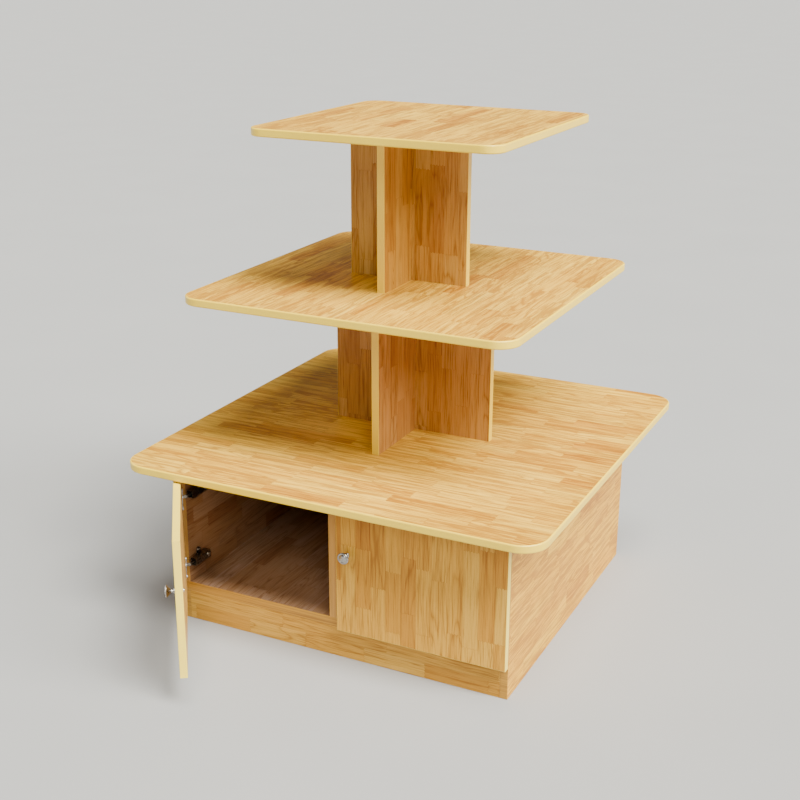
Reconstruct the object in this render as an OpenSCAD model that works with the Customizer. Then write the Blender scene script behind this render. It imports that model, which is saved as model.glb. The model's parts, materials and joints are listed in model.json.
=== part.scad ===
// Three-tier display shelf on a two-door base cabinet.
// The origin is on the floor under the centre of the lower shelf, the doors face -Y.

/* [Boards] */
// Thickness of the shelves, posts and cabinet panels
board_t = 18; // [15:0.5:22]
// Thickness of the doors
door_t = 16; // [15:0.5:20]
// Thickness of the cabinet floor
floor_t = 22; // [18:0.5:28]
// Thickness of the plain edge bands
band_t = 1; // [0.6:0.1:2]
// Thickness and rounding of the shelf edge bands
shelf_band_t = 3; // [2:0.5:5]

/* [Shelves] */
// Side of the square lower shelf
lower_shelf_w = 1000; // [900:10:1200]
// Side of the square middle shelf
middle_shelf_w = 790; // [700:10:900]
// Side of the square top shelf
top_shelf_w = 585; // [500:5:680]
// Corner radius of the lower shelf
lower_shelf_r = 60; // [30:5:90]
// Corner radius of the middle shelf
middle_shelf_r = 50; // [30:5:90]
// Corner radius of the top shelf
top_shelf_r = 40; // [25:5:80]
// Sideways place of the middle shelf's centre
middle_shelf_x = -9; // [-20:1:20]
// Depthwise place of the middle shelf's centre
middle_shelf_y = 11; // [-20:1:20]
// Sideways place of the top shelf's centre
top_shelf_x = 14; // [-20:1:20]
// Depthwise place of the top shelf's centre
top_shelf_y = 10; // [-20:1:20]

/* [Posts] */
// Width of the two boards of the lower post
lower_post_w = 402; // [340:2:440]
// Height of the lower post
lower_post_h = 350; // [250:5:450]
// Width of the two boards of the upper post
upper_post_w = 294; // [240:2:320]
// Height of the upper post
upper_post_h = 344; // [250:2:450]
// Sideways place of the lower post
lower_post_x = -8; // [-20:1:20]
// Depthwise place of the lower post
lower_post_y = 1; // [-20:1:20]
// Sideways place of the upper post
upper_post_x = -17; // [-30:1:30]
// Depthwise place of the upper post
upper_post_y = -7; // [-30:1:30]
// Looseness of the halving joint on each face
halving_gap = 0.1; // [0.05:0.05:0.5]

/* [Cabinet] */
// Width of the cabinet over its side panels
cabinet_w = 820; // [760:10:900]
// Depth of the side panels
cabinet_d = 776; // [700:4:820]
// Place of the side panels' front edges
cabinet_front_y = -406; // [-430:2:-380]
// Height of the cabinet up to the lower shelf
cabinet_h = 392; // [360:2:480]
// Height of the plinth under the cabinet floor
plinth_h = 72; // [50:2:90]
// Depth of the two flat rails under the lower shelf
rail_d = 80; // [60:5:120]

/* [Doors] */
// Gap between a door and the side panels' front edges
door_gap = 2; // [1.5:0.1:3]
// Width of the open strip between the two doors
door_reveal = 21; // [16:1:28]
// Height of the doors' bottom edge above the floor
door_low_z = 76; // [70:1:90]
// Gap between the doors and the lower shelf
door_top_gap = 4; // [3:0.5:8]
// Angle at which the left door stands open
left_open = 55; // [0:1:100]
// Angle at which the right door stands open
right_open = 0; // [0:1:100]

/* [Knobs] */
// Diameter of a knob's head
knob_d = 27; // [20:1:34]
// How far a knob stands out of its door
knob_h = 22; // [16:1:30]
// Width of the flat rim round a knob's face
knob_rim_w = 2; // [1:0.5:3]
// Width of the groove inside that rim
knob_groove_w = 1.2; // [0.8:0.2:2]
// Diameter of a knob's stem
knob_stem_d = 9; // [7:0.5:12]
// Distance of a knob from the door's free edge
knob_inset = 27; // [20:1:60]
// Height of the knobs above the floor
knob_z = 265; // [180:5:330]
// Diameter of the screw that holds a knob
knob_screw_d = 4; // [3:0.5:5]
// How far that screw reaches into the knob
knob_thread_l = 10; // [8:0.5:14]

/* [Hinges] */
// Diameter of a hinge cup
cup_d = 35; // [26:1:40]
// Depth of a hinge cup
cup_depth = 11.5; // [9:0.5:12.5]
// Distance of a cup's centre from the door's hinged edge
cup_inset = 22.5; // [21:0.5:25]
// Thickness of the cup's sheet metal
cup_wall = 1; // [0.6:0.1:1.5]
// Thickness of the cup's flange
flange_t = 1.2; // [0.8:0.1:1.5]
// Distance of the hinges from the doors' top and bottom edges
hinge_inset = 70; // [60:1:110]
// Diameter of a cup's pin
pin_d = 3; // [2.5:0.1:3.2]
// Distance of the pin from the door's hinged edge
pin_inset = 18; // [17.5:0.1:18.5]
// Depth of the pin behind the door's inner face
pin_depth = 4; // [3.8:0.1:4.2]
// Diameter of the screws of a cup's flange
cup_screw_d = 3.5; // [3:0.1:4]
// Length of the screws of a cup's flange
cup_screw_l = 12; // [10:0.5:13]
// Distance of these screws from the cup's centre, away from the hinged edge
cup_screw_inset = 9.5; // [8:0.5:11]
// Distance of these screws above and below the cup's centre
cup_screw_z = 22.5; // [22:0.5:26]
// Length of a hinge arm
arm_l = 60; // [58:1:80]
// Width of a hinge arm
arm_w = 18; // [16:0.5:20]
// Height of a hinge arm above its plate
arm_h = 15; // [14:0.5:16]
// Thickness of a hinge arm's sheet metal
arm_wall = 1.5; // [1:0.1:1.8]
// Distance of a hinge arm's front end behind the door's inner face
arm_front_y = 5; // [4.5:0.1:5.4]
// Diameter of the screw that holds an arm on its plate
arm_screw_d = 5; // [4:0.5:6]
// Thickness of the mounting plate
plate_t = 3; // [2.5:0.1:3.5]
// Distance of the plate screws behind the door's inner face
plate_screw_y = 39; // [36:1:42]
// Distance of the plate screws above and below the arm's middle
plate_screw_z = 16; // [15:0.5:20]
// Diameter of the plate screws
plate_screw_d = 4; // [3:0.5:4.5]
// Length of the plate screws
plate_screw_l = 14; // [12:0.5:16]
// Travel of a hinge link per degree of door swing
link_rate = 0.245; // [0.24:0.001:0.25]
// Thickness of a hinge link
link_t = 3; // [2.5:0.1:3.2]
// Width of a hinge link
link_w = 8; // [6:0.5:10]
// Diameter of the link's eye round the pin
link_eye_d = 6; // [5.4:0.1:6.2]
// Length of the link's shoe in the arm
shoe_l = 14; // [10:0.5:14]
// Distance of the shoe's far end behind the door's inner face
shoe_end_y = 44; // [44:0.5:46]
// Running gap round the shoe in its arm
shoe_gap = 0.3; // [0.2:0.05:0.4]

/* [Fasteners] */
// Diameter of the wooden dowels
dowel_d = 8; // [6:1:10]
// Length of the wooden dowels
dowel_l = 30; // [26:1:36]
// How deep a dowel sits in a board's face
dowel_face_depth = 12; // [10:0.5:13]
// Looseness of dowels and screws in their holes
hole_gap = 0.05; // [0.03:0.01:0.2]
// Diameter of the long shelf and rail screws
screw_d = 5; // [4:0.5:6]
// Diameter of the cam housings
cam_d = 15; // [12:1:18]
// Depth of the cam housings
cam_h = 12.5; // [10:0.5:14]
// Distance of a cam's centre from the panel's end
cam_inset = 24; // [20:1:34]
// Diameter of the cam bolts
cam_bolt_d = 6; // [5:0.5:7]

/* [Hidden] */
$fn = 48;

wood = [0.87, 0.68, 0.4];
pale_band = [0.9, 0.82, 0.6];
nickel = [0.7, 0.7, 0.7];
dark_nickel = [0.3, 0.29, 0.28];
dowel_wood = [0.8, 0.7, 0.5];

// Levels from the floor up
lower_top_z = cabinet_h + board_t;
middle_z = lower_top_z + lower_post_h;
middle_top_z = middle_z + board_t;
top_z = middle_top_z + upper_post_h;
floor_top_z = plinth_h + floor_t;
rail_z = cabinet_h - board_t;
door_top_z = cabinet_h - door_top_gap;
door_h = door_top_z - door_low_z;

// Lines in plan
side_x = cabinet_w / 2;
inner_x = side_x - board_t;
cabinet_back_y = cabinet_front_y + cabinet_d;
back_face_y = cabinet_back_y - board_t;
plinth_back_y = cabinet_front_y + board_t;
door_in_y = cabinet_front_y - door_gap;
door_out_y = door_in_y - door_t;
door_w = side_x - door_reveal / 2;
hinge_z = [door_low_z + hinge_inset, door_top_z - hinge_inset];

// Lines in a hinge
pin_side = cup_inset - pin_inset + pin_d / 2;
pin_l = 2 * sqrt(cup_d * cup_d / 4 - pin_side * pin_side) - 0.1;
arm_x = board_t + plate_t;
arm_screw_y = arm_front_y + arm_l - 8;
link_x = arm_x + arm_h / 2;
crank_w = link_x - pin_inset;

// Places of the fasteners
post_dowel_share = 0.35;
post_screw_share = 0.2;
post_screw_l = 50;
rail_screw_l = 28;
rail_screw_x = [0.25, 0.8] * inner_x;
floor_dowel_y = [cabinet_front_y + 76, 0, back_face_y - 60];
floor_cam_y = [cabinet_front_y + 130, back_face_y - 110];
back_dowel_z = [plinth_h / 2 + 20, rail_z - 60];
divider_dowel_y = [cabinet_front_y + 100, back_face_y - 80];
bearer_dowel_y = [cabinet_front_y + 200, back_face_y - 160];
front_rail_y = cabinet_front_y + rail_d / 2;
back_rail_y = back_face_y - rail_d / 2;
rail_mid_z = rail_z + board_t / 2;
floor_mid_z = plinth_h + floor_t / 2;

// Every dowel that lies along X, as its depth and height, on both sides of the cabinet
side_dowels = concat(
    [for (y = floor_dowel_y) [y, floor_mid_z]],
    [[cabinet_front_y + board_t / 2, plinth_h / 2]],
    [for (z = back_dowel_z) [back_face_y + board_t / 2, z]],
    [[front_rail_y, rail_mid_z], [back_rail_y, rail_mid_z]]);

// Square with round corners, centred
module rounded_square(w, r) {
    square([w, w - 2 * r], center = true);
    square([w - 2 * r, w], center = true);
    for (x = [-1, 1], y = [-1, 1])
        translate([x * (w / 2 - r), y * (w / 2 - r)])
            circle(r, $fn = 96);
}

// Section of an edge band: its back at x = 0, its rounded front at x = depth
module band_profile(depth, t) {
    intersection() {
        square([depth, t]);
        union() {
            translate([0, depth])
                circle(depth);
            translate([0, t - depth])
                circle(depth);
            translate([0, depth])
                square([depth, t - 2 * depth]);
        }
    }
}

// Upright band of height h, on an edge that faces -Y, its width t centred on x = 0
module upright_band(t, h) {
    translate([t / 2, 0, 0])
        rotate([0, 0, -90])
            linear_extrude(h)
                translate([0, -t])
                    band_profile(band_t, t);
}

// Level band of length l along X on an edge that faces -Y, standing on z = 0
module level_band(t, l) {
    translate([l / 2, 0, 0])
        rotate([90, 0, -90])
            linear_extrude(l)
                band_profile(band_t, t);
}

// Board of a shelf, without its edge band, standing on z = 0
module shelf_board(w, r) {
    linear_extrude(board_t)
        rounded_square(w - 2 * shelf_band_t, r - shelf_band_t);
}

// Rounded edge band all round a shelf
module shelf_edge(w, r) {
    straight = w - 2 * r;
    for (a = [0, 90, 180, 270])
        rotate([0, 0, a]) {
            translate([w / 2 - shelf_band_t, straight / 2, 0])
                rotate([90, 0, 0])
                    linear_extrude(straight)
                        band_profile(shelf_band_t, board_t);
            translate([straight / 2, straight / 2, 0])
                rotate_extrude(angle = 90, $fn = 96)
                    translate([r - shelf_band_t, 0])
                        band_profile(shelf_band_t, board_t);
        }
}

module dowel() {
    cylinder(h = dowel_l, d = dowel_d);
}

// Hole for a dowel, with a little room past each end
module dowel_hole() {
    end_room = 0.4;
    translate([0, 0, -end_room])
        cylinder(h = dowel_l + 2 * end_room, r = dowel_d / 2 + hole_gap);
}

// Countersunk screw with its head's face at z = 0 and its tip up
module wood_screw(l, d) {
    cylinder(h = d / 2, r1 = d, r2 = d / 2);
    cylinder(h = l, d = d);
}

module wood_screw_hole(l, d) {
    cylinder(h = d / 2, r1 = d + hole_gap, r2 = d / 2 + hole_gap);
    cylinder(h = l + 0.5, r = d / 2 + hole_gap);
}

// Puts its children at four points of a post, at a share of the post's width
module on_post(x, y, w, share) {
    for (a = [0, 90, 180, 270])
        translate([x, y, 0])
            rotate([0, 0, a])
                translate([w * share, 0, 0])
                    children();
}

// Both ends of a post: dowels reach into the shelf below and the shelf above
module post_dowel_places(x, y, w, low_z, high_z) {
    on_post(x, y, w, post_dowel_share) {
        translate([0, 0, low_z - dowel_face_depth])
            children();
        translate([0, 0, high_z + dowel_face_depth - dowel_l])
            children();
    }
}

module lower_post_dowels() {
    post_dowel_places(lower_post_x, lower_post_y, lower_post_w, lower_top_z, middle_z)
        children();
}

module upper_post_dowels() {
    post_dowel_places(upper_post_x, upper_post_y, upper_post_w, middle_top_z, top_z)
        children();
}

// Screws that go up through the lower shelf into the lower post
module post_screw_places() {
    on_post(lower_post_x, lower_post_y, lower_post_w, post_screw_share)
        translate([0, 0, cabinet_h])
            children();
}

// Screws that go up through the rails into the lower shelf
module rail_screw_places() {
    for (y = [front_rail_y, back_rail_y], s = [-1, 1], x = rail_screw_x)
        translate([s * x, y, rail_z])
            children();
}

// Dowels between the side panels and the boards that butt on them
module side_dowel_places() {
    for (p = side_dowels) {
        translate([inner_x + dowel_face_depth - dowel_l, p[0], p[1]])
            rotate([0, 90, 0])
                children();
        translate([-inner_x - dowel_face_depth, p[0], p[1]])
            rotate([0, 90, 0])
                children();
    }
}

// Upright dowels from the cabinet floor into the dividers
module divider_dowel_places() {
    for (y = divider_dowel_y, s = [-1, 1])
        translate([s * board_t / 2, y, floor_top_z - dowel_face_depth])
            children();
}

// Upright dowels from the bearer into the cabinet floor
module bearer_dowel_places() {
    for (y = bearer_dowel_y)
        translate([0, y, plinth_h + dowel_face_depth - dowel_l])
            children();
}

// Cam housings sit in the underside of the cabinet floor
module cam_places() {
    for (y = floor_cam_y, s = [0, 1])
        mirror([s, 0, 0])
            translate([inner_x, y, plinth_h])
                children();
}

module cam_bolt() {
    translate([-cam_inset, 0, floor_t / 2])
        rotate([0, 90, 0])
            cylinder(h = cam_inset + dowel_face_depth, d = cam_bolt_d);
}

module cam_bolt_hole() {
    translate([-cam_inset, 0, floor_t / 2])
        rotate([0, 90, 0])
            cylinder(h = cam_inset + dowel_face_depth + 0.4, r = cam_bolt_d / 2 + hole_gap);
}

module cam_pocket() {
    translate([-cam_inset, 0, -0.1])
        cylinder(h = floor_t / 2 + cam_h / 2 + 0.2, r = cam_d / 2 + hole_gap);
}

module lower_shelf() {
    color(wood)
        difference() {
            translate([0, 0, cabinet_h])
                shelf_board(lower_shelf_w, lower_shelf_r);
            lower_post_dowels()
                dowel_hole();
            post_screw_places()
                wood_screw_hole(post_screw_l, screw_d);
            rail_screw_places()
                cylinder(h = rail_screw_l + 0.5, r = screw_d / 2 + hole_gap);
        }
}

module lower_shelf_edge() {
    color(pale_band)
        translate([0, 0, cabinet_h])
            shelf_edge(lower_shelf_w, lower_shelf_r);
}

module middle_shelf() {
    color(wood)
        difference() {
            translate([middle_shelf_x, middle_shelf_y, middle_z])
                shelf_board(middle_shelf_w, middle_shelf_r);
            lower_post_dowels()
                dowel_hole();
            upper_post_dowels()
                dowel_hole();
        }
}

module middle_shelf_edge() {
    color(pale_band)
        translate([middle_shelf_x, middle_shelf_y, middle_z])
            shelf_edge(middle_shelf_w, middle_shelf_r);
}

module top_shelf() {
    color(wood)
        difference() {
            translate([top_shelf_x, top_shelf_y, top_z])
                shelf_board(top_shelf_w, top_shelf_r);
            upper_post_dowels()
                dowel_hole();
        }
}

module top_shelf_edge() {
    color(pale_band)
        translate([top_shelf_x, top_shelf_y, top_z])
            shelf_edge(top_shelf_w, top_shelf_r);
}

// Board of a crossed post along X, slotted halfway down from its top
module post_side_board(w, h) {
    slot_w = board_t + 2 * halving_gap;
    difference() {
        translate([band_t - w / 2, -board_t / 2, 0])
            cube([w - 2 * band_t, board_t, h]);
        translate([-slot_w / 2, -board_t, h / 2 - halving_gap])
            cube([slot_w, 2 * board_t, h]);
    }
}

// The same board along Y, slotted halfway up from its foot
module post_depth_board(w, h) {
    translate([0, 0, h])
        rotate([180, 0, 90])
            post_side_board(w, h);
}

// The four upright edge bands of a crossed post
module post_bands(w, h) {
    for (a = [0, 90, 180, 270])
        rotate([0, 0, a])
            translate([0, band_t - w / 2, 0])
                upright_band(board_t, h);
}

module lower_post_side_board() {
    color(wood)
        difference() {
            translate([lower_post_x, lower_post_y, lower_top_z])
                post_side_board(lower_post_w, lower_post_h);
            lower_post_dowels()
                dowel_hole();
            post_screw_places()
                wood_screw_hole(post_screw_l, screw_d);
        }
}

module lower_post_depth_board() {
    color(wood)
        difference() {
            translate([lower_post_x, lower_post_y, lower_top_z])
                post_depth_board(lower_post_w, lower_post_h);
            lower_post_dowels()
                dowel_hole();
            post_screw_places()
                wood_screw_hole(post_screw_l, screw_d);
        }
}

module lower_post_edge_bands() {
    color(pale_band)
        translate([lower_post_x, lower_post_y, lower_top_z])
            post_bands(lower_post_w, lower_post_h);
}

module upper_post_side_board() {
    color(wood)
        difference() {
            translate([upper_post_x, upper_post_y, middle_top_z])
                post_side_board(upper_post_w, upper_post_h);
            upper_post_dowels()
                dowel_hole();
        }
}

module upper_post_depth_board() {
    color(wood)
        difference() {
            translate([upper_post_x, upper_post_y, middle_top_z])
                post_depth_board(upper_post_w, upper_post_h);
            upper_post_dowels()
                dowel_hole();
        }
}

module upper_post_edge_bands() {
    color(pale_band)
        translate([upper_post_x, upper_post_y, middle_top_z])
            post_bands(upper_post_w, upper_post_h);
}

// Left side panel: its front and back edges carry bands
module side_panel() {
    difference() {
        translate([-side_x, cabinet_front_y + band_t, 0])
            cube([board_t, cabinet_d - 2 * band_t, cabinet_h]);
        side_dowel_places()
            dowel_hole();
        cam_places()
            cam_bolt_hole();
        hinge_places()
            plate_screw_places()
                plate_screw_hole();
    }
}

module left_side_panel() {
    color(wood)
        side_panel();
}

module right_side_panel() {
    color(wood)
        mirror([1, 0, 0])
            side_panel();
}

module back_panel() {
    color(wood)
        difference() {
            translate([-inner_x, back_face_y, 0])
                cube([2 * inner_x, board_t, cabinet_h]);
            side_dowel_places()
                dowel_hole();
        }
}

module cabinet_floor() {
    floor_front = cabinet_front_y + band_t;
    color(wood)
        difference() {
            translate([-inner_x, floor_front, plinth_h])
                cube([2 * inner_x, back_face_y - floor_front, floor_t]);
            side_dowel_places()
                dowel_hole();
            divider_dowel_places()
                dowel_hole();
            bearer_dowel_places()
                dowel_hole();
            cam_places() {
                cam_bolt_hole();
                cam_pocket();
            }
        }
}

// Divider of one board, its left face at x = 0, notched at the top for both rails
module divider() {
    front = cabinet_front_y + band_t;
    difference() {
        translate([0, front, floor_top_z])
            cube([board_t, back_face_y - front, cabinet_h - floor_top_z]);
        translate([-board_t, front - 1, rail_z])
            cube([3 * board_t, rail_d - band_t + 1, 2 * board_t]);
        translate([-board_t, back_face_y - rail_d, rail_z])
            cube([3 * board_t, rail_d + 1, 2 * board_t]);
    }
}

module left_divider() {
    color(wood)
        difference() {
            translate([-board_t, 0, 0])
                divider();
            divider_dowel_places()
                dowel_hole();
        }
}

module right_divider() {
    color(wood)
        difference() {
            divider();
            divider_dowel_places()
                dowel_hole();
        }
}

module front_plinth() {
    color(wood)
        difference() {
            translate([-inner_x, cabinet_front_y, 0])
                cube([2 * inner_x, board_t, plinth_h]);
            side_dowel_places()
                dowel_hole();
        }
}

module centre_bearer() {
    color(wood)
        difference() {
            translate([-board_t / 2, plinth_back_y, 0])
                cube([board_t, back_face_y - plinth_back_y, plinth_h]);
            bearer_dowel_places()
                dowel_hole();
        }
}

// Flat rail under the lower shelf, its front edge at y
module rail(y) {
    difference() {
        translate([-inner_x, y, rail_z])
            cube([2 * inner_x, rail_d, board_t]);
        side_dowel_places()
            dowel_hole();
        rail_screw_places()
            wood_screw_hole(rail_screw_l, screw_d);
    }
}

module front_rail() {
    color(wood)
        rail(cabinet_front_y);
}

module back_rail() {
    color(wood)
        rail(back_face_y - rail_d);
}

// Bands on the side panels, the cabinet floor and the dividers
module cabinet_edge_bands() {
    panel_x = side_x - board_t / 2;
    color(pale_band) {
        for (x = [-panel_x, panel_x]) {
            translate([x, cabinet_front_y + band_t, 0])
                upright_band(board_t, cabinet_h);
            translate([x, cabinet_back_y - band_t, 0])
                rotate([0, 0, 180])
                    upright_band(board_t, cabinet_h);
        }
        for (x = [-board_t / 2, board_t / 2])
            translate([x, cabinet_front_y + band_t, floor_top_z])
                upright_band(board_t, rail_z - floor_top_z);
        translate([0, cabinet_front_y + band_t, plinth_h])
            level_band(floor_t, 2 * inner_x);
    }
}

// Opens the left door: its pins move out with the links and the door turns on them
module swing(angle) {
    pin_x = pin_inset - side_x;
    pin_y = door_in_y - pin_depth;
    translate([pin_x, pin_y - link_rate * angle, 0])
        rotate([0, 0, -angle])
            translate([-pin_x, -pin_y, 0])
                children();
}

// Puts a piece of the left door on its open door, or a mirrored one on the right door
module on_left_door() {
    swing(left_open)
        children();
}

module on_right_door() {
    mirror([1, 0, 0])
        swing(right_open)
            children();
}

// The left door's two hinges: x = 0 at the cabinet's side, y = 0 at the door's inner face
module hinge_places() {
    for (z = hinge_z)
        translate([-side_x, door_in_y, z])
            children();
}

// The door as it lies closed on the cabinet's left half
module door_board() {
    difference() {
        translate([-side_x + band_t, door_out_y, door_low_z + band_t])
            cube([door_w - 2 * band_t, door_t, door_h - 2 * band_t]);
        hinge_places() {
            translate([cup_inset, 0.1, 0])
                rotate([90, 0, 0])
                    cylinder(h = cup_depth + 0.2, r = cup_d / 2 + hole_gap);
            cup_screw_places()
                cylinder(h = cup_screw_l + 0.3, r = cup_screw_d / 2 + hole_gap);
        }
        knob_place()
            translate([0, 0, -door_t - 1])
                cylinder(h = door_t + 2, r = knob_screw_d / 2 + hole_gap);
    }
}

module door_bands() {
    door_mid_x = door_w / 2 - side_x;
    for (end = [-1, 1])
        translate([door_mid_x + end * (door_w / 2 - band_t), door_in_y - door_t / 2, door_low_z])
            rotate([0, 0, 90 * end])
                upright_band(door_t, door_h);
    translate([door_mid_x, door_in_y, door_low_z + band_t])
        rotate([90, 0, 0])
            level_band(door_t, door_w - 2 * band_t);
    translate([door_mid_x, door_out_y, door_top_z - band_t])
        rotate([-90, 0, 0])
            level_band(door_t, door_w - 2 * band_t);
}

// The knob's axis on the closed left door, z = 0 on the door's outer face, pointing out
module knob_place() {
    translate([door_w - side_x - knob_inset, door_out_y, knob_z])
        rotate([90, 0, 0])
            children();
}

// Flared knob: a flat rim, a shallow groove inside it and a domed middle
module knob() {
    r = knob_d / 2;
    foot_r = knob_stem_d / 2 + 1.5;
    waist_r = knob_stem_d / 2 - 1;
    bevel = 1.2;
    rim_t = 3;
    dome_h = 2;
    groove_depth = 0.8;
    face_z = knob_h - dome_h;
    rim_z = face_z - rim_t;
    groove_z = face_z - groove_depth;
    flat_r = r - bevel;
    groove_r = flat_r - knob_rim_w;
    dome_r = groove_r - knob_groove_w;
    stem = [[0, 0], [foot_r, 0], [foot_r, 1.5], [waist_r, 4], [waist_r, knob_h * 0.4]];
    rim = [[flat_r, rim_z], [r, rim_z + bevel], [r, face_z - bevel], [flat_r, face_z], [groove_r, face_z],
        [groove_r, groove_z]];
    dome = [for (a = [0:15:90]) [dome_r * cos(a), groove_z + (knob_h - groove_z) * sin(a)]];
    outline = concat(stem, rim, dome);
    difference() {
        rotate_extrude($fn = 64)
            polygon(outline);
        translate([0, 0, -1])
            cylinder(h = knob_thread_l + 1.5, r = knob_screw_d / 2 + hole_gap);
    }
}

// Pan-headed screw from the door's inner face into the knob
module knob_screw() {
    head_r = knob_screw_d;
    head_h = 2.4;
    translate([0, 0, -door_t])
        cylinder(h = door_t + knob_thread_l, d = knob_screw_d);
    translate([0, 0, -door_t - head_h])
        cylinder(h = head_h, r = head_r);
}

// Axes of the two screws of a cup's flange, pointing into the door
module cup_screw_places() {
    for (z = [-cup_screw_z, cup_screw_z])
        translate([cup_inset + cup_screw_inset, 0, z])
            rotate([90, 0, 0])
                children();
}

// Steel cup with its flange, open towards the cabinet
module hinge_cup() {
    difference() {
        union() {
            translate([cup_inset, 0, 0])
                rotate([90, 0, 0])
                    cylinder(h = cup_depth, d = cup_d, $fn = 64);
            translate([0, flange_t, 0])
                rotate([90, 0, 0])
                    linear_extrude(flange_t)
                        cup_flange();
        }
        translate([cup_inset, flange_t + 1, 0])
            rotate([90, 0, 0])
                cylinder(h = cup_depth + flange_t + 1 - cup_wall, d = cup_d - 2 * cup_wall, $fn = 64);
        cup_screw_places()
            translate([0, 0, -flange_t - 1])
                cylinder(h = flange_t + 2, r = cup_screw_d / 2 + hole_gap);
        cup_pin_hole();
    }
}

// Upright pin across the cup, its ends in the cup's wall
module cup_pin() {
    translate([pin_inset, -pin_depth, -pin_l / 2])
        cylinder(h = pin_l, d = pin_d);
}

module cup_pin_hole() {
    translate([pin_inset, -pin_depth, -cup_d])
        cylinder(h = 2 * cup_d, r = pin_d / 2 + hole_gap);
}

module cup_flange() {
    ear_r = 5;
    translate([cup_inset, 0])
        circle(d = cup_d + 3);
    translate([cup_inset + cup_screw_inset - ear_r, -cup_screw_z])
        square([2 * ear_r, 2 * cup_screw_z]);
    for (z = [-cup_screw_z, cup_screw_z])
        translate([cup_inset + cup_screw_inset, z])
            circle(ear_r);
}

module cup_screw() {
    head_h = 1.6;
    cylinder(h = cup_screw_l, d = cup_screw_d);
    translate([0, 0, -flange_t - head_h])
        cylinder(h = head_h, d = 2 * cup_screw_d);
    translate([0, 0, -flange_t])
        cylinder(h = flange_t, d = cup_screw_d);
}

// Axes of the two screws of a mounting plate, pointing into the side panel
module plate_screw_places() {
    for (z = [-plate_screw_z, plate_screw_z])
        translate([arm_x, plate_screw_y, z])
            rotate([0, -90, 0])
                children();
}

module plate_screw() {
    head_h = 1.8;
    cylinder(h = plate_screw_l, d = plate_screw_d);
    translate([0, 0, -head_h])
        cylinder(h = head_h, d = 2 * plate_screw_d);
}

module plate_screw_hole() {
    cylinder(h = plate_screw_l + 0.3, r = plate_screw_d / 2 + hole_gap);
}

// Plate on the side panel's inner face: a bar under the arm and two wings for the screws
module hinge_plate() {
    wing_r = 7;
    difference() {
        translate([board_t, 0, 0])
            rotate([90, 0, 90])
                linear_extrude(plate_t) {
                    translate([plate_screw_y - 14, -arm_w / 2])
                        square([arm_front_y + arm_l - plate_screw_y + 14, arm_w]);
                    for (z = [-plate_screw_z, plate_screw_z])
                        translate([plate_screw_y, z])
                            circle(wing_r);
                    translate([plate_screw_y - wing_r, -plate_screw_z])
                        square([2 * wing_r, 2 * plate_screw_z]);
                }
        plate_screw_places()
            translate([0, 0, -1])
                plate_screw_hole();
        arm_screw_place()
            translate([0, 0, -1])
                cylinder(h = arm_h + plate_t + 2, r = arm_screw_d / 2 + hole_gap);
    }
}

// Axis of the screw that fixes the arm on its plate, z = 0 on the arm's face
module arm_screw_place() {
    translate([arm_x + arm_h, arm_screw_y, 0])
        rotate([0, -90, 0])
            children();
}

module arm_screw() {
    head_h = 2;
    cylinder(h = arm_h + plate_t, d = arm_screw_d);
    translate([0, 0, -head_h])
        cylinder(h = head_h, d = 2 * arm_screw_d);
}

// Box-section arm on the plate, open at both ends
module hinge_arm() {
    difference() {
        translate([arm_x, arm_front_y, -arm_w / 2])
            cube([arm_h, arm_l, arm_w]);
        translate([arm_x + arm_wall, arm_front_y - 1, arm_wall - arm_w / 2])
            cube([arm_h - 2 * arm_wall, arm_l + 2, arm_w - 2 * arm_wall]);
        arm_screw_place()
            translate([0, 0, -1])
                cylinder(h = arm_h + 2, r = arm_screw_d / 2 + hole_gap);
    }
}

// Cranked link, drawn with its door closed: it turns on the pin and its shoe runs in the arm
module hinge_link() {
    elbow_y = crank_w - pin_depth;
    crank_step = 0.5;
    shoe_w = arm_w - 2 * (arm_wall + shoe_gap);
    shoe_h = arm_h - 2 * (arm_wall + shoe_gap);
    difference() {
        union() {
            translate([pin_inset, -pin_depth, -link_w / 2]) {
                cylinder(h = link_w, d = link_eye_d);
                rotate([0, 0, 45])
                    translate([0, -link_t / 2, crank_step])
                        cube([crank_w * sqrt(2), link_t, link_w - 2 * crank_step]);
            }
            translate([link_x, elbow_y, -link_w / 2])
                cylinder(h = link_w, d = 1.3 * link_t);
            translate([link_x - link_t / 2, elbow_y, -link_w / 2])
                cube([link_t, shoe_end_y - elbow_y, link_w]);
            translate([link_x - shoe_h / 2, shoe_end_y - shoe_l, -shoe_w / 2])
                cube([shoe_h, shoe_l, shoe_w]);
        }
        cup_pin_hole();
    }
}

// Both links of the left door, drawn out of their arms for a door that stands open by angle
module door_links(angle) {
    translate([0, -link_rate * angle, 0])
        hinge_places()
            hinge_link();
}

module left_door() {
    color(wood)
        on_left_door()
            door_board();
}

module left_door_edge_bands() {
    color(pale_band)
        on_left_door()
            door_bands();
}

module left_knob() {
    color(nickel)
        on_left_door()
            knob_place()
                knob();
}

module left_knob_screw() {
    color(nickel)
        on_left_door()
            knob_place()
                knob_screw();
}

module left_hinge_cups() {
    color(nickel)
        on_left_door()
            hinge_places()
                hinge_cup();
}

module left_cup_screws() {
    color(nickel)
        on_left_door()
            hinge_places()
                cup_screw_places()
                    cup_screw();
}

module left_cup_pins() {
    color(nickel)
        on_left_door()
            hinge_places()
                cup_pin();
}

module left_hinge_links() {
    color(dark_nickel)
        door_links(left_open);
}

module left_hinge_arms() {
    color(dark_nickel)
        hinge_places()
            hinge_arm();
}

module left_hinge_plates() {
    color(dark_nickel)
        hinge_places()
            hinge_plate();
}

module right_door() {
    color(wood)
        on_right_door()
            door_board();
}

module right_door_edge_bands() {
    color(pale_band)
        on_right_door()
            door_bands();
}

module right_knob() {
    color(nickel)
        on_right_door()
            knob_place()
                knob();
}

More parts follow.
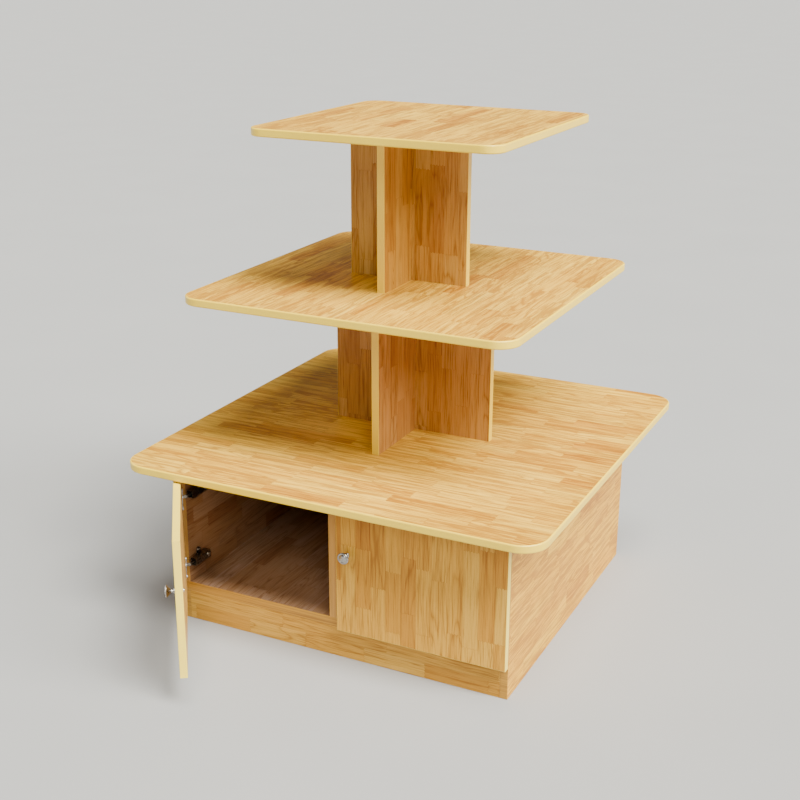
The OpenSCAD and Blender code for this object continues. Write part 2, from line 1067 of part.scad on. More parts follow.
module right_knob_screw() {
    color(nickel)
        on_right_door()
            knob_place()
                knob_screw();
}

module right_hinge_cups() {
    color(nickel)
        on_right_door()
            hinge_places()
                hinge_cup();
}

module right_cup_screws() {
    color(nickel)
        on_right_door()
            hinge_places()
                cup_screw_places()
                    cup_screw();
}

module right_cup_pins() {
    color(nickel)
        on_right_door()
            hinge_places()
                cup_pin();
}

module right_hinge_links() {
    color(dark_nickel)
        mirror([1, 0, 0])
            door_links(right_open);
}

module right_hinge_arms() {
    color(dark_nickel)
        mirror([1, 0, 0])
            hinge_places()
                hinge_arm();
}

module right_hinge_plates() {
    color(dark_nickel)
        mirror([1, 0, 0])
            hinge_places()
                hinge_plate();
}

module plate_screws() {
    color(nickel)
        for (s = [0, 1])
            mirror([s, 0, 0])
                hinge_places()
                    plate_screw_places()
                        plate_screw();
}

module arm_screws() {
    color(nickel)
        for (s = [0, 1])
            mirror([s, 0, 0])
                hinge_places()
                    arm_screw_place()
                        arm_screw();
}

module post_dowels() {
    color(dowel_wood) {
        lower_post_dowels()
            dowel();
        upper_post_dowels()
            dowel();
    }
}

module post_screws() {
    color(nickel)
        post_screw_places()
            wood_screw(post_screw_l, screw_d);
}

module panel_dowels() {
    color(dowel_wood) {
        side_dowel_places()
            dowel();
        divider_dowel_places()
            dowel();
        bearer_dowel_places()
            dowel();
    }
}

module cam_housings() {
    color(nickel)
        cam_places()
            difference() {
                translate([-cam_inset, 0, floor_t / 2 - cam_h / 2])
                    cylinder(h = cam_h, d = cam_d);
                cam_bolt_hole();
            }
}

module cam_bolts() {
    color(nickel)
        cam_places()
            cam_bolt();
}

module rail_screws() {
    color(nickel)
        rail_screw_places()
            wood_screw(rail_screw_l, screw_d);
}

lower_shelf();
lower_shelf_edge();
middle_shelf();
middle_shelf_edge();
top_shelf();
top_shelf_edge();
lower_post_side_board();
lower_post_depth_board();
lower_post_edge_bands();
upper_post_side_board();
upper_post_depth_board();
upper_post_edge_bands();
left_side_panel();
right_side_panel();
back_panel();
cabinet_floor();
left_divider();
right_divider();
front_plinth();
centre_bearer();
front_rail();
back_rail();
cabinet_edge_bands();
left_door();
left_door_edge_bands();
left_knob();
left_knob_screw();
left_hinge_cups();
left_cup_screws();
left_cup_pins();
left_hinge_links();
left_hinge_arms();
left_hinge_plates();
right_door();
right_door_edge_bands();
right_knob();
right_knob_screw();
right_hinge_cups();
right_cup_screws();
right_cup_pins();
right_hinge_links();
right_hinge_arms();
right_hinge_plates();
plate_screws();
arm_screws();
post_dowels();
post_screws();
panel_dowels();
cam_housings();
cam_bolts();
rail_screws();
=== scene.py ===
"""Looks of the tiered display shelf: strip wood boards, pale edge bands, plated knobs and hinges."""

import json
import math

import bpy
from mathutils import Matrix, Vector


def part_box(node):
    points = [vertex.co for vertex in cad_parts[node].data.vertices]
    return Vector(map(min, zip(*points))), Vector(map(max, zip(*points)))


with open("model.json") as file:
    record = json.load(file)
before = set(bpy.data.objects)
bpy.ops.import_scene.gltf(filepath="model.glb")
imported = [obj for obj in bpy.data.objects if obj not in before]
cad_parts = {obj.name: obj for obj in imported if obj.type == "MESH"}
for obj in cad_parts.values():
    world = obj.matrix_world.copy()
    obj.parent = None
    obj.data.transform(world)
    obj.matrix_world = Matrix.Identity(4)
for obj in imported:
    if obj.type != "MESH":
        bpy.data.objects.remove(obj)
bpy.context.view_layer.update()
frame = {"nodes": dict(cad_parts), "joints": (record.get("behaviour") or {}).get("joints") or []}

X, Y, Z = 0, 1, 2


def srgb(r, g, b):
    """A colour given as 0 to 255 screen values, as a linear RGBA."""
    def linear(v):
        v /= 255
        return v / 12.92 if v <= 0.04045 else ((v + 0.055) / 1.055) ** 2.4
    return linear(r), linear(g), linear(b), 1.0


# Camera and light

# Camera: place in metres, and its axes in the row frame
CAMERA_AT = (1.2476, -2.6465, 1.5131)
CAMERA_RIGHT = (0.8981992, 0.4395726, 0.0037569)
CAMERA_DOWN = (0.1495059, -0.2974333, -0.9429642)
# Lens and sensor width in millimetres, and the nearest and farthest seen in metres
CAMERA_LENS = 58.38
SENSOR_W = 36.0
SEEN_FROM = 0.05
SEEN_TO = 200.0

# Colours of the light: warmer from the suns, cooler from the sky
SUN_COLOUR = (1.0, 0.982, 0.87)
SKY_COLOUR = (0.93, 0.98, 1.28, 1.0)

# Soft suns: name, direction that it comes from, strength, and its width in degrees
SUNS = (
    ("high_right", (0.539, -0.196, 0.819), 6.8, 22),
    ("overhead", (0.219, -0.219, 0.951), 3.4, 25),
    ("right", (0.819, 0.0, 0.574), 3.2, 25),
    ("front", (0.410, -0.709, 0.574), 1.7, 25),
    ("back_right", (0.664, 0.664, 0.342), 0.8, 30),
    ("left", (-0.980, 0.050, 0.190), 0.9, 30),
)

# Sky: its strength overhead, its glow at the horizon, and the heights between which one becomes the other
SKY_STRENGTH = 0.05
HORIZON_GLOW = 0.62
HORIZON_LOW = 0.05
HORIZON_HIGH = 0.22

# Floor: how far it reaches to each side and how far it lies under the feet, in metres, and its finish
FLOOR_REACH = 150.0
FLOOR_DROP = 0.0005
FLOOR_TONES = [(0.3, (0.31, 0.312, 0.325, 1)), (0.7, (0.32, 0.322, 0.335, 1))]
FLOOR_CLOUDS = 2.0
FLOOR_ROUGHNESS = 0.7


# Strip wood

# Strips of the laminate's print, and the lengths of their pieces, in metres
STRIP_W = 0.036
PIECE_MIN = 0.12
PIECE_MAX = 0.27
# Finger joints between pieces, in metres
FINGER_DEPTH = 0.003
FINGER_PITCH = 0.007
# Dark lines along the joints of strips and of pieces: where each ends and where it is full, in metres
SIDE_LINE = (0.0009, 0.0001)
END_LINE = (0.001, 0.0002)
SIDE_LINE_DARK = 0.22
END_LINE_DARK = 0.35

# Steps between the patterns of two boards, and between those of a board's two faces
SEED_STEP = 7.31
FACE_STEP = 0.37
# Sets the random values of the strips apart from those of their pieces
STRIP_SALT = 3.7
# How far chance shifts the joints of a strip, in piece lengths, and the grain of a piece, in metres
JOINT_SHIFT = 37.0
GRAIN_SHIFT_ALONG = 11.0
GRAIN_SHIFT_ACROSS = 5.0

# Repeats in a metre of each pattern of the grain, along it and across it
BEND_SCALE = (6.0, 9.0)
BROAD_SCALE = (4.0, 95.0)
LINE_SCALE = (5.0, 190.0)
ARCH_SCALE = (3.0, 22.0)
STREAK_SCALE = (14.0, 430.0)
PORE_SCALE = (130.0, 2300.0)
DRIFT_SCALE = 3.0
GLOSS_SCALE = 24.0

# How far the grain bends sideways, in metres
BEND_REACH = 0.016
# Broad bands: the level at which they start to darken, how steeply, and their share in the grain
BROAD_LEVEL = 0.34
BROAD_GAIN = 3.2
BROAD_SHARE = 0.55
# Fine streaks, lighter and darker about their middle
STREAK_GAIN = 2.2
# Drawn growth lines: their width in the noise's own value, and their strength from straight to bent grain
LINE_WIDTH = 0.055
LINE_SHARE = (-0.1, 1.1)
# Arches: rings in one figure, how narrow their lines are, their share, and which pieces show them
ARCH_RINGS = 11.0
ARCH_SHARPNESS = 3.0
ARCH_SHARE = 0.65
ARCH_FROM = 0.6
# Pores: the values of their noise at which one starts and is full, and how dark it is
PORE_EDGE = (0.62, 0.74)
PORE_DARK = 0.4
# Slow change of brightness over a board
DRIFT = (0.88, 1.08)
# Bump of the surface: how high the streaks stand and how deep the joints and pores lie
STREAK_HEIGHT = 0.6
MARK_DEPTH = 0.5

# Colours of the pieces, from the common pale ones to the few dark ones
PIECE_TONES = [
    (0.0, (0.73, 0.415, 0.054, 1)),
    (0.3, (0.72, 0.390, 0.045, 1)),
    (0.72, (0.68, 0.350, 0.036, 1)),
    (0.90, (0.62, 0.300, 0.028, 1)),
    (1.0, (0.54, 0.235, 0.021, 1)),
]
# What the grain leaves of a piece's colour, from none to full
GRAIN_SHADES = [
    (0.0, (1.0, 1.0, 1.0, 1)),
    (0.25, (0.95, 0.93, 0.87, 1)),
    (0.6, (0.83, 0.77, 0.64, 1)),
    (1.0, (0.58, 0.46, 0.32, 1)),
]
# What joints and pores leave of it
MARK_SHADE = (0.5, 0.34, 0.22, 1)

# Tints of the laminate: yellower shelves, warm fronts, redder lower post; painted light on the sunlit
# right side and the upper post's right face, painted shade darkening the posts under the shelves and the
# brown inside, and a painted sheen on the doors' inner faces
SHELF = (1.07, 1.19, 1.15)
# Right side panel: brighter and yellower than the same laminate elsewhere, painted light where the suns
# fall on it
RIGHT_SIDE_PAINTED_LIGHT = (1.14, 1.13, 0.50)
FRONT = (1.00, 0.99, 1.10)
PLINTH = (0.88, 0.90, 1.25)
# Posts: darker and bluer than the fronts, painted shade where they stand under the shelves
POST_PAINTED_SHADE = (0.76, 0.74, 1.55)
POST_DEPTH_PAINTED_SHADE = (0.71, 0.65, 1.55)
UPPER_POST_PAINTED_SHADE = (0.76, 0.79, 1.35)
# Right face of the upper post's depth board: yellower with less blue, painted light where the suns fall on
# it
UPPER_POST_RIGHT_PAINTED_LIGHT = (0.73, 0.70, 0.90)
# Inside faces of the cabinet: darker and bluer brown, painted shade in the cabinet's recesses
INSIDE_PAINTED_SHADE = (0.46, 0.53, 3.00)
INSIDE_WALL_PAINTED_SHADE = (0.49, 0.47, 1.90)
# Inner faces of the doors: greyer with much more blue, a painted sheen of light grazing them
DOOR_INSIDE_PAINTED_SHEEN = (0.98, 1.12, 3.20)

# How much stronger the grain shows on the brightly lit tops and on the right side
TOP_CONTRAST = 1.6
SIDE_CONTRAST = 1.7


# Finishes: tones by the value of the noise, roughness from and to, gloss, and bump as strength and metres

# Boards
WOOD_ROUGHNESS = (0.34, 0.46)
WOOD_GLOSS = {"Specular IOR Level": 0.2, "Coat Weight": 0.03, "Coat Roughness": 0.3}
WOOD_BUMP = (0.18, 0.00015)

# Edging of the shelves, posts and doors
PALE_EDGE_TONES = [(0.3, (0.79, 0.53, 0.026, 1)), (0.7, (0.85, 0.59, 0.034, 1))]
DOOR_EDGE_TONES = [(0.3, (0.82, 0.60, 0.070, 1)), (0.7, (0.88, 0.66, 0.090, 1))]
EDGE_ROUGHNESS = (0.26, 0.40)
EDGE_GLOSS = {"Specular IOR Level": 0.5, "Coat Weight": 0.15, "Coat Roughness": 0.2}
EDGE_BUMP = (0.12, 0.0001)
# Its print: the stretch and scale of the fine noise, the scale of the broad noise, and the fine share
EDGE_STRETCH = (60.0, 60.0, 60.0)
EDGE_FINE = 4.0
EDGE_BROAD = 9.0
EDGE_FINE_SHARE = 0.45

# Edging of the cabinet: streaks along X and tan uprights, and the repeats of each in a metre
STREAKED_TONES = [
    (0.3, (0.28, 0.125, 0.018, 1)),
    (0.5, (0.45, 0.220, 0.028, 1)),
    (0.7, (0.54, 0.280, 0.034, 1)),
]
TAN_TONES = [(0.3, (0.45, 0.225, 0.042, 1)), (0.7, (0.56, 0.295, 0.064, 1))]
STREAKED_SCALE = (5.0, 1.0, 420.0)
UPRIGHT_SCALE = (260.0, 260.0, 6.0)
CABINET_EDGE_ROUGHNESS = (0.34, 0.46)
CABINET_EDGE_GLOSS = {"Specular IOR Level": 0.35}

# Dowels, and the scale of their fine grain
DOWEL_TONES = [(0.3, srgb(196, 158, 112)), (0.6, srgb(222, 188, 142))]
DOWEL_GRAIN = 700.0
DOWEL_ROUGHNESS = (0.6, 0.8)
DOWEL_BUMP = (0.3, 0.0002)

# Metals: tones, roughness, and the scale of the fine marks
CHROME_KNOB = ([(0.35, srgb(150, 147, 142)), (0.65, srgb(186, 182, 176))], (0.22, 0.34), 180.0)
NICKEL_STEEL = ([(0.35, srgb(176, 176, 174)), (0.65, srgb(206, 206, 203))], (0.22, 0.36), 420.0)
DARK_NICKEL = ([(0.35, srgb(60, 54, 48)), (0.65, srgb(160, 150, 136))], (0.22, 0.45), 300.0)
METAL_BUMP = (0.08, 0.0001)


class Nodes:
    """Short calls that add nodes to one tree and link them."""

    # Sockets that the Mix node uses for colours
    MIX_FACTOR, MIX_A, MIX_B, MIX_RESULT = 0, 6, 7, 2

    def __init__(self, tree):
        self.tree = tree
        tree.nodes.clear()

    def feed(self, node, key, value):
        """Links a socket to an input, or sets the input to a plain value."""
        if isinstance(value, bpy.types.NodeSocket):
            self.tree.links.new(value, node.inputs[key])
        else:
            node.inputs[key].default_value = value

    def add(self, kind, inputs=None, **settings):
        node = self.tree.nodes.new(kind)
        for key, value in settings.items():
            setattr(node, key, value)
        for key, value in (inputs or {}).items():
            self.feed(node, key, value)
        return node

    def math(self, operation, a, b=0.0, clamp=False):
        return self.add("ShaderNodeMath", {0: a, 1: b}, operation=operation, use_clamp=clamp).outputs[0]

    def times(self, a, b):
        return self.math("MULTIPLY", a, b)

    def plus(self, a, b):
        return self.math("ADD", a, b)

    def minus(self, a, b):
        return self.math("SUBTRACT", a, b)

    def scale_by(self, value, low, high):
        """A value from 0 to 1 stretched to run from low to high."""
        return self.add("ShaderNodeMapRange", {
            "Value": value, "To Min": low, "To Max": high}).outputs[0]

    def fade(self, value, start, full):
        """0 where the value is at start, 1 where it is at full, and straight between them."""
        return self.add("ShaderNodeMapRange", {
            "Value": value, "From Min": start, "From Max": full}).outputs[0]

    def vector(self, x, y, z):
        return self.add("ShaderNodeCombineXYZ", {0: x, 1: y, 2: z}).outputs[0]

    def split(self, vector):
        return self.add("ShaderNodeSeparateXYZ", {0: vector}).outputs

    def move(self, operation, vector, by):
        return self.add("ShaderNodeVectorMath", {0: vector, 1: by}, operation=operation).outputs[0]

    def place(self):
        """The surface point in the object's own space, in metres."""
        return self.add("ShaderNodeTexCoord").outputs["Object"]

    def noise(self, vector, scale=1.0, detail=2.0, roughness=0.5, distortion=0.0):
        return self.add("ShaderNodeTexNoise", {
            "Vector": vector, "Scale": scale, "Detail": detail,
            "Roughness": roughness, "Distortion": distortion}).outputs["Fac"]

    def grain(self, along, across, seed, scale, **settings):
        """Noise whose repeats in a metre differ along the grain and across it."""
        vector = self.vector(self.times(along, scale[0]), self.times(across, scale[1]), seed)
        return self.noise(vector, **settings)

    def random(self, vector):
        """Three random numbers that are the same wherever the vector is the same."""
        noise = self.add("ShaderNodeTexWhiteNoise", {"Vector": vector}, noise_dimensions="3D")
        return self.split(noise.outputs["Color"])

    def ramp(self, value, stops):
        node = self.add("ShaderNodeValToRGB", {"Fac": value})
        elements = node.color_ramp.elements
        while len(elements) < len(stops):
            elements.new(0.5)
        for element, (place, colour) in zip(elements, stops):
            element.position = place
            element.color = colour
        return node.outputs["Color"]

    def mix(self, factor, a, b, blend="MIX"):
        node = self.add("ShaderNodeMix", data_type="RGBA", blend_type=blend)
        self.feed(node, self.MIX_FACTOR, factor)
        self.feed(node, self.MIX_A, a)
        self.feed(node, self.MIX_B, b)
        return node.outputs[self.MIX_RESULT]

    def multiply(self, a, b):
        return self.mix(1.0, a, b, "MULTIPLY")

    def finish(self, shader, height=None, bump=None):
        """Ends a material in its shader, with a bump from the height if there is one."""
        if height is not None:
            strength, depth = bump
            normal = self.add("ShaderNodeBump", {
                "Strength": strength, "Distance": depth, "Height": height})
            self.feed(shader, "Normal", normal.outputs[0])
        out = self.add("ShaderNodeOutputMaterial")
        self.feed(out, "Surface", shader.outputs[0])


def strip_wood_group():
    """Finger-jointed strips. The vector's X is along the grain, Y across the strips, Z through the board.

    Contrast says how strongly the grain shows.
    """
    group = bpy.data.node_groups.new("strip_wood", "ShaderNodeTree")
    for name, in_out, kind in (
            ("Vector", "INPUT", "NodeSocketVector"),
            ("Seed", "INPUT", "NodeSocketFloat"),
            ("Contrast", "INPUT", "NodeSocketFloat"),
            ("Color", "OUTPUT", "NodeSocketColor"),
            ("Roughness", "OUTPUT", "NodeSocketFloat"),
            ("Height", "OUTPUT", "NodeSocketFloat")):
        group.interface.new_socket(name, in_out=in_out, socket_type=kind)
    n = Nodes(group)
    source = n.add("NodeGroupInput")
    along, across, through = n.split(source.outputs["Vector"])
    seed = n.times(source.outputs["Seed"], SEED_STEP)
    seed = n.plus(seed, n.times(n.math("SIGN", through), FACE_STEP))

    # Strips side by side, each made of pieces of its own length
    row = n.plus(n.math("DIVIDE", across, STRIP_W), seed)
    row_index = n.math("FLOOR", row)
    row_part = n.math("FRACT", row)
    row_random = n.random(n.vector(row_index, seed, STRIP_SALT))
    length = n.scale_by(row_random[0], PIECE_MIN, PIECE_MAX)
    finger = n.math("PINGPONG", across, FINGER_PITCH / 2)
    finger = n.times(finger, 2 * FINGER_DEPTH / FINGER_PITCH)
    piece = n.math("DIVIDE", n.plus(along, finger), length)
    piece = n.plus(piece, n.times(row_random[1], JOINT_SHIFT))
    piece_index = n.math("FLOOR", piece)
    piece_part = n.math("FRACT", piece)
    tone, shift, kind = n.random(n.vector(row_index, piece_index, seed))

    # Grain of one piece: broad bands, drawn growth lines, fine streaks, arches and short dark pores
    place_a = n.plus(along, n.times(shift, GRAIN_SHIFT_ALONG))
    place_b = n.plus(across, n.times(kind, GRAIN_SHIFT_ACROSS))
    bend = n.grain(place_a, place_b, seed, BEND_SCALE, detail=1.0)
    wavy = n.plus(place_b, n.times(bend, BEND_REACH))
    bands = n.grain(place_a, wavy, seed, BROAD_SCALE)
    lines = n.grain(place_a, wavy, seed, LINE_SCALE, detail=1.5)
    lines = n.fade(n.math("ABSOLUTE", n.minus(lines, 0.5)), LINE_WIDTH, 0.0)
    streaks = n.grain(place_a, place_b, seed, STREAK_SCALE, detail=3.0, roughness=0.65)
    arch = n.grain(place_a, place_b, seed, ARCH_SCALE, detail=1.0, distortion=0.2)
    arch = n.times(n.math("PINGPONG", n.times(arch, ARCH_RINGS), 0.5), 2.0)
    arch = n.math("POWER", arch, ARCH_SHARPNESS)
    arched = n.math("GREATER_THAN", kind, ARCH_FROM)
    pores = n.fade(n.grain(place_a, place_b, seed, PORE_SCALE, detail=1.0), *PORE_EDGE)

    # Joints between strips and pieces
    side_gap = n.times(n.math("PINGPONG", row_part, 0.5), STRIP_W)
    end_gap = n.times(n.math("PINGPONG", piece_part, 0.5), length)
    side_line = n.times(n.fade(side_gap, *SIDE_LINE), SIDE_LINE_DARK)
    end_line = n.times(n.fade(end_gap, *END_LINE), END_LINE_DARK)

    # Colour: the piece's tone, darkened by its grain, then by joints and pores
    base = n.ramp(tone, PIECE_TONES)
    growth = n.times(n.minus(bands, BROAD_LEVEL), BROAD_GAIN)
    fine = n.times(n.minus(streaks, 0.5), STREAK_GAIN)
    drawn = n.times(lines, n.scale_by(bend, *LINE_SHARE))
    drawn = n.math("MAXIMUM", drawn, n.times(n.times(arch, arched), ARCH_SHARE))
    amount = n.plus(n.plus(n.times(growth, BROAD_SHARE), fine), drawn)
    amount = n.math("MULTIPLY", amount, source.outputs["Contrast"], clamp=True)
    colour = n.multiply(base, n.ramp(amount, GRAIN_SHADES))
    seams = n.math("MAXIMUM", side_line, end_line)
    marks = n.math("MAXIMUM", seams, n.times(pores, PORE_DARK), clamp=True)
    colour = n.mix(marks, colour, n.multiply(base, MARK_SHADE))

    # Slow drift of brightness over the whole board
    drift = n.noise(n.vector(along, across, seed), scale=DRIFT_SCALE, detail=1.0)
    drift = n.scale_by(drift, *DRIFT)
    colour = n.multiply(colour, n.vector(drift, drift, drift))

    gloss = n.noise(n.vector(along, across, through), scale=GLOSS_SCALE, detail=3.0)
    out = n.add("NodeGroupOutput")
    n.feed(out, "Color", colour)
    n.feed(out, "Roughness", n.scale_by(gloss, *WOOD_ROUGHNESS))
    n.feed(out, "Height", n.minus(n.times(streaks, STREAK_HEIGHT), n.times(marks, MARK_DEPTH)))
    return group


STRIP_WOOD = strip_wood_group()


def new_material(name):
    material = bpy.data.materials.new(name)
    material.use_nodes = True
    return material, Nodes(material.node_tree)


def strip_wood(name, centre, seed, along, across, tint, contrast=1.0, side=0, side_painted_tint=None, turn=0.0):
    """Laminate of a board: its grain runs along one axis, its strips lie side by side on another.

    Side, -1 or 1 on the board's third axis, is the face that has a tint of its own, which paints shade, a
    sheen or light onto that face. Turn is how far the board stands turned about its upright middle line.
    """
    material, n = new_material(name)
    place = n.move("SUBTRACT", n.place(), tuple(centre))
    if turn:
        place = n.add("ShaderNodeVectorRotate", {"Vector": place, "Angle": turn},
                      rotation_type="Z_AXIS").outputs[0]
    axes = n.split(place)
    through = axes[X + Y + Z - along - across]
    pattern = n.add("ShaderNodeGroup", node_tree=STRIP_WOOD)
    n.feed(pattern, "Vector", n.vector(axes[along], axes[across], through))
    n.feed(pattern, "Seed", seed)
    n.feed(pattern, "Contrast", contrast)
    shade = (*tint, 1)
    # The face on the given side takes its own tint, which paints shade, a sheen or light onto that face
    if side:
        painted_face = n.math("GREATER_THAN", n.times(through, side), 0.0)
        shade = n.mix(painted_face, shade, (*side_painted_tint, 1))
    shader = n.add("ShaderNodeBsdfPrincipled", {
        "Base Color": n.multiply(pattern.outputs["Color"], shade),
        "Roughness": pattern.outputs["Roughness"], **WOOD_GLOSS})
    n.finish(shader, pattern.outputs["Height"], WOOD_BUMP)
    return material


def edge_band(name, tones):
    """Plastic edging with a faint print of fine grain."""
    material, n = new_material(name)
    fine = n.noise(n.move("MULTIPLY", n.place(), EDGE_STRETCH), scale=EDGE_FINE, detail=5.0, roughness=0.6)
    broad = n.noise(n.place(), scale=EDGE_BROAD)
    value = n.plus(n.times(fine, EDGE_FINE_SHARE), n.times(broad, 1 - EDGE_FINE_SHARE))
    shader = n.add("ShaderNodeBsdfPrincipled", {
        "Base Color": n.ramp(value, tones), "Roughness": n.scale_by(fine, *EDGE_ROUGHNESS), **EDGE_GLOSS})
    n.finish(shader, fine, EDGE_BUMP)
    return material


def cabinet_band(name, floor_top):
    """Edging of the cabinet: streaks along X below the height given, plain upright tan bands above it."""
    material, n = new_material(name)
    place = n.place()
    streaked = n.noise(n.move("MULTIPLY", place, STREAKED_SCALE), detail=4.0, roughness=0.6)
    upright = n.noise(n.move("MULTIPLY", place, UPRIGHT_SCALE), detail=4.0, roughness=0.6)
    above = n.math("GREATER_THAN", n.split(place)[Z], floor_top)
    shader = n.add("ShaderNodeBsdfPrincipled", {
        "Base Color": n.mix(above, n.ramp(streaked, STREAKED_TONES), n.ramp(upright, TAN_TONES)),
        "Roughness": n.scale_by(upright, *CABINET_EDGE_ROUGHNESS), **CABINET_EDGE_GLOSS})
    n.finish(shader, n.mix(above, streaked, upright), EDGE_BUMP)
    return material


def raw_dowel():
    """Raw hardwood with fine ribs of grain."""
    material, n = new_material("beech_dowel")
    fine = n.noise(n.place(), scale=DOWEL_GRAIN, detail=3.0)
    shader = n.add("ShaderNodeBsdfPrincipled", {
        "Base Color": n.ramp(fine, DOWEL_TONES), "Roughness": n.scale_by(fine, *DOWEL_ROUGHNESS)})
    n.finish(shader, fine, DOWEL_BUMP)
    return material


def plated_metal(name, tones, roughness, grain):
    """Plated metal whose colour and roughness vary a little with fine marks."""
    material, n = new_material(name)
    marks = n.noise(n.place(), scale=grain, detail=4.0, roughness=0.65)
    shader = n.add("ShaderNodeBsdfPrincipled", {
        "Base Color": n.ramp(marks, tones), "Metallic": 1.0, "Roughness": n.scale_by(marks, *roughness)})
    n.finish(shader, marks, METAL_BUMP)
    return material


def dress(node, material):
    """Gives a CAD node one material all over."""
    slots = frame["nodes"][node].data.materials
    slots.clear()
    slots.append(material)


# How far the left door stands open in the CAD: the hinge's low limit is the closed door
joints = {joint["name"]: joint for joint in frame["joints"]}
LEFT_OPEN = -math.radians(joints["left_door_hinge"]["range_deg"][0])

# Boards: the axis of the grain, the axis across the strips, the tint, and what else sets a board apart
# Inside faces and posts take tints with painted shade, the right side and the upper post's right face
# tints with painted light, and the doors' inner faces a painted sheen
BOARDS = {
    "lower_shelf": dict(along=X, across=Y, tint=SHELF, contrast=TOP_CONTRAST),
    "middle_shelf": dict(along=Y, across=X, tint=SHELF, contrast=TOP_CONTRAST),
    "top_shelf": dict(along=Y, across=X, tint=SHELF, contrast=TOP_CONTRAST),
    "lower_post_side_board": dict(along=Z, across=X, tint=POST_PAINTED_SHADE),
    "lower_post_depth_board": dict(along=Z, across=Y, tint=POST_DEPTH_PAINTED_SHADE),
    "upper_post_side_board": dict(along=Z, across=X, tint=UPPER_POST_PAINTED_SHADE),
    "upper_post_depth_board": dict(along=Z, across=Y, tint=POST_DEPTH_PAINTED_SHADE, side=1, side_painted_tint=UPPER_POST_RIGHT_PAINTED_LIGHT),
    "left_side_panel": dict(along=Y, across=Z, tint=FRONT, side=1, side_painted_tint=INSIDE_WALL_PAINTED_SHADE),
    "right_side_panel": dict(along=Y, across=Z, tint=RIGHT_SIDE_PAINTED_LIGHT, contrast=SIDE_CONTRAST, side=-1,
                             side_painted_tint=INSIDE_WALL_PAINTED_SHADE),
    "back_panel": dict(along=X, across=Z, tint=FRONT, side=-1, side_painted_tint=INSIDE_PAINTED_SHADE),
    "cabinet_floor": dict(along=Y, across=X, tint=INSIDE_PAINTED_SHADE),
    "left_divider": dict(along=Y, across=Z, tint=INSIDE_WALL_PAINTED_SHADE),
    "right_divider": dict(along=Y, across=Z, tint=INSIDE_WALL_PAINTED_SHADE),
    "front_plinth": dict(along=X, across=Z, tint=PLINTH),
    "centre_bearer": dict(along=Y, across=Z, tint=INSIDE_PAINTED_SHADE),
    "front_rail": dict(along=X, across=Y, tint=INSIDE_PAINTED_SHADE),
    "back_rail": dict(along=X, across=Y, tint=INSIDE_PAINTED_SHADE),
    "right_door": dict(along=Z, across=X, tint=FRONT, side=1, side_painted_tint=DOOR_INSIDE_PAINTED_SHEEN),
    "left_door": dict(along=Z, across=X, tint=FRONT, side=1, side_painted_tint=DOOR_INSIDE_PAINTED_SHEEN, turn=LEFT_OPEN),
}
# A board's seed is its place in the list, but for the left door's
SEEDS = {board: float(number) for number, board in enumerate(BOARDS, start=1)}
SEEDS["left_door"] = 23.0

for board, look in BOARDS.items():
    low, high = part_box(board)
    dress(board, strip_wood("wood_" + board, (low + high) / 2, SEEDS[board], **look))

PALE_BAND = edge_band("pale_edge_band", PALE_EDGE_TONES)
DOOR_BAND = edge_band("door_edge_band", DOOR_EDGE_TONES)
CABINET_BAND = cabinet_band("tan_edge_band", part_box("cabinet_floor")[1][Z])
DOWEL = raw_dowel()
CHROME = plated_metal("chrome_knob", *CHROME_KNOB)
BRIGHT = plated_metal("nickel_steel", *NICKEL_STEEL)
DARK = plated_metal("dark_nickel", *DARK_NICKEL)

# Finish of the other nodes by the end of their names; screws, cups, pins and cams are bright
FITTINGS = {
    "cabinet_edge_bands": CABINET_BAND,
    "door_edge_bands": DOOR_BAND,
    "post_edge_bands": PALE_BAND,
    "shelf_edge": PALE_BAND,
    "dowels": DOWEL,
    "knob": CHROME,
    "arms": DARK,
    "plates": DARK,
    "links": DARK,
}
for name in frame["nodes"]:
    if name not in BOARDS:
        finishes = [finish for ending, finish in FITTINGS.items() if name.endswith(ending)]
        dress(name, finishes[0] if finishes else BRIGHT)


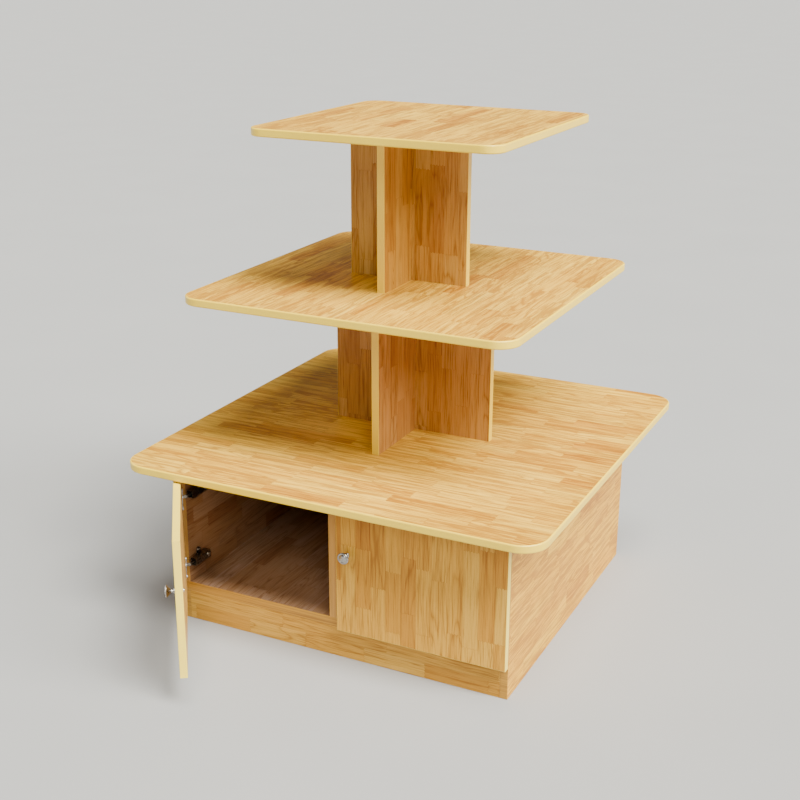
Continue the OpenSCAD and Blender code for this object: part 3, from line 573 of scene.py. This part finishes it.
def add_floor():
    """Wide pale floor, just under the feet."""
    mesh = bpy.data.meshes.new("floor")
    s = FLOOR_REACH
    mesh.from_pydata([(-s, -s, 0), (s, -s, 0), (s, s, 0), (-s, s, 0)], [], [(0, 1, 2, 3)])
    floor = bpy.data.objects.new("floor", mesh)
    floor.location = (0, 0, -FLOOR_DROP)
    bpy.context.scene.collection.objects.link(floor)
    material, n = new_material("pale_floor")
    colour = n.ramp(n.noise(n.place(), scale=FLOOR_CLOUDS), FLOOR_TONES)
    n.finish(n.add("ShaderNodeBsdfPrincipled", {"Base Color": colour, "Roughness": FLOOR_ROUGHNESS}))
    mesh.materials.append(material)


def add_sky():
    """Sky that glows softly at the horizon."""
    world = bpy.data.worlds.new("sky")
    world.use_nodes = True
    n = Nodes(world.node_tree)
    height = n.split(n.add("ShaderNodeTexCoord").outputs["Generated"])[Z]
    glow = n.add("ShaderNodeMapRange", {
        "Value": height, "From Min": HORIZON_LOW, "From Max": HORIZON_HIGH,
        "To Min": HORIZON_GLOW, "To Max": SKY_STRENGTH}, interpolation_type="SMOOTHSTEP").outputs[0]
    sky = n.add("ShaderNodeBackground", {"Color": SKY_COLOUR, "Strength": glow})
    n.feed(n.add("ShaderNodeOutputWorld"), "Surface", sky.outputs[0])
    bpy.context.scene.world = world


def add_suns():
    """Soft suns, each shining from its own direction."""
    for name, toward, strength, width in SUNS:
        light = bpy.data.lights.new(name, "SUN")
        light.energy = strength
        light.color = SUN_COLOUR
        light.angle = math.radians(width)
        lamp = bpy.data.objects.new(name, light)
        lamp.rotation_euler = Vector(toward).to_track_quat("Z", "Y").to_euler()
        bpy.context.scene.collection.objects.link(lamp)


def add_camera():
    """Camera at the photo's place, with the photo's lens."""
    data = bpy.data.cameras.new("camera")
    data.lens = CAMERA_LENS
    data.sensor_width = SENSOR_W
    data.clip_start = SEEN_FROM
    data.clip_end = SEEN_TO
    right = Vector(CAMERA_RIGHT).normalized()
    up = -Vector(CAMERA_DOWN).normalized()
    back = right.cross(up)
    turn = Matrix((right, up, back)).transposed().to_4x4()
    eye = bpy.data.objects.new("camera", data)
    eye.matrix_world = Matrix.Translation(CAMERA_AT) @ turn
    bpy.context.scene.collection.objects.link(eye)
    bpy.context.scene.camera = eye


add_floor()
add_sky()
add_suns()
add_camera()
